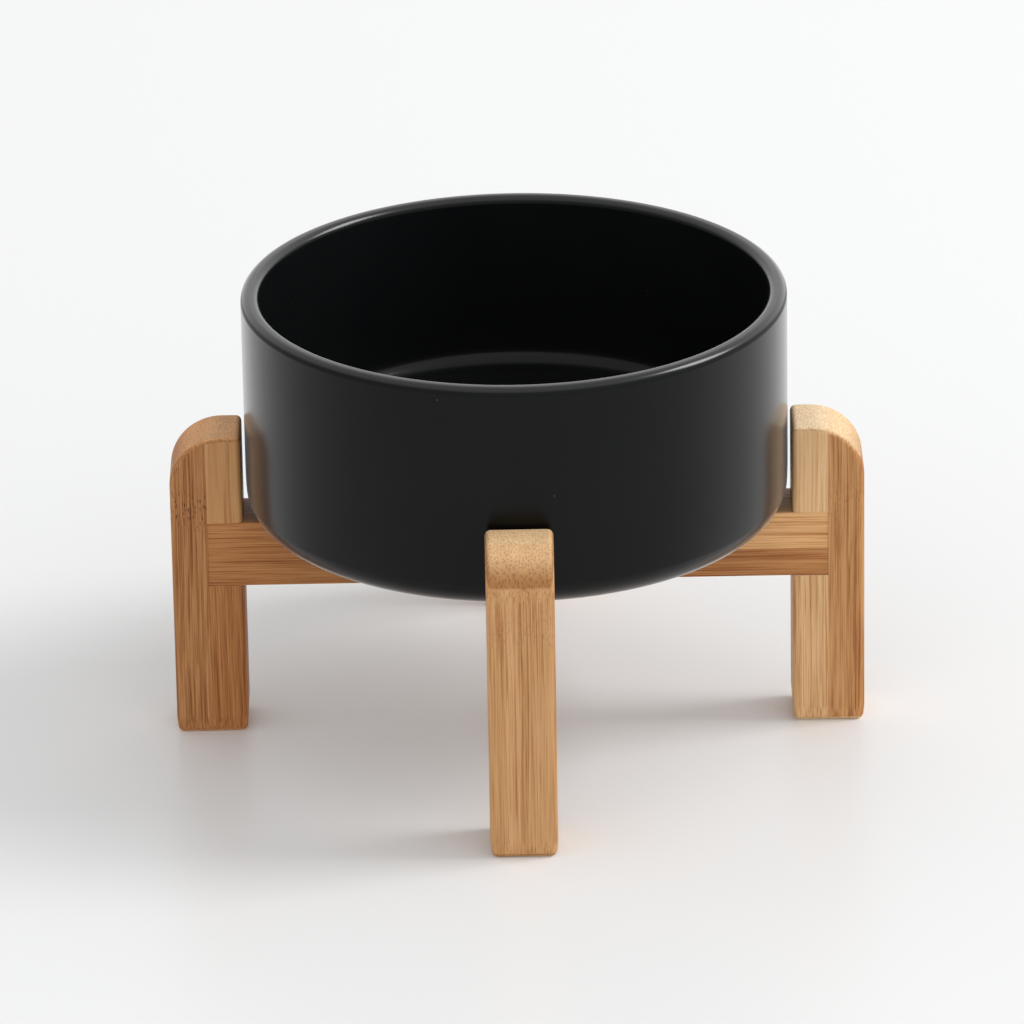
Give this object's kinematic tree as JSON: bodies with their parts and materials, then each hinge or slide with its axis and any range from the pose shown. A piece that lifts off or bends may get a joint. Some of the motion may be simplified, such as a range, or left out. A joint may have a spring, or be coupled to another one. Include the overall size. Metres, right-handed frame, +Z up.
{
  "type": "elevated dog bowl",
  "caption": "Round black glazed ceramic feeding bowl that lifts out of a low laminated bamboo stand, whose crossed frames interlock under the bowl.",
  "frame": {"origin": "on the floor under the bowl's axis, midway between the feet", "axes": "+Z up along the bowl's axis, +X along the lower rail, -Y towards the viewer of the picture"},
  "size_m": [0.1982, 0.1982, 0.1323],
  "materials": {
    "black_glaze": "satin black glaze",
    "bamboo_stave": "sanded and oiled bamboo, long grain",
    "bamboo_block": "sanded and oiled bamboo, long grain",
    "bamboo_rail": "sanded and oiled bamboo, long grain",
    "dowel_wood": "plain turned dowel"
  },
  "bodies": {
    "lower_frame": {"left_stave": "bamboo_stave", "left_post": "bamboo_block", "left_foot": "bamboo_block", "left_dowel": "dowel_wood", "right_stave": "bamboo_stave", "right_post": "bamboo_block", "right_foot": "bamboo_block", "right_dowel": "dowel_wood", "lower_rail_base": "bamboo_rail", "lower_rail_cap_left": "bamboo_rail", "lower_rail_cap_right": "bamboo_rail"},
    "upper_frame": {"front_stave": "bamboo_stave", "front_post": "bamboo_block", "front_foot": "bamboo_block", "front_dowel": "dowel_wood", "back_stave": "bamboo_stave", "back_post": "bamboo_block", "back_foot": "bamboo_block", "back_dowel": "dowel_wood", "upper_rail_cap": "bamboo_rail", "upper_rail_base_front": "bamboo_rail", "upper_rail_base_back": "bamboo_rail"},
    "bowl": {"bowl": "black_glaze"}
  },
  "joints": [
    {"name": "frame_lift", "type": "slide", "parent": "lower_frame", "child": "upper_frame", "axis": [0, 0, 1], "range_m": [0, 0.03]},
    {"name": "bowl_lift", "type": "slide", "parent": "upper_frame", "child": "bowl", "axis": [0, 0, 1], "range_m": [0, 0.04]}
  ]
}
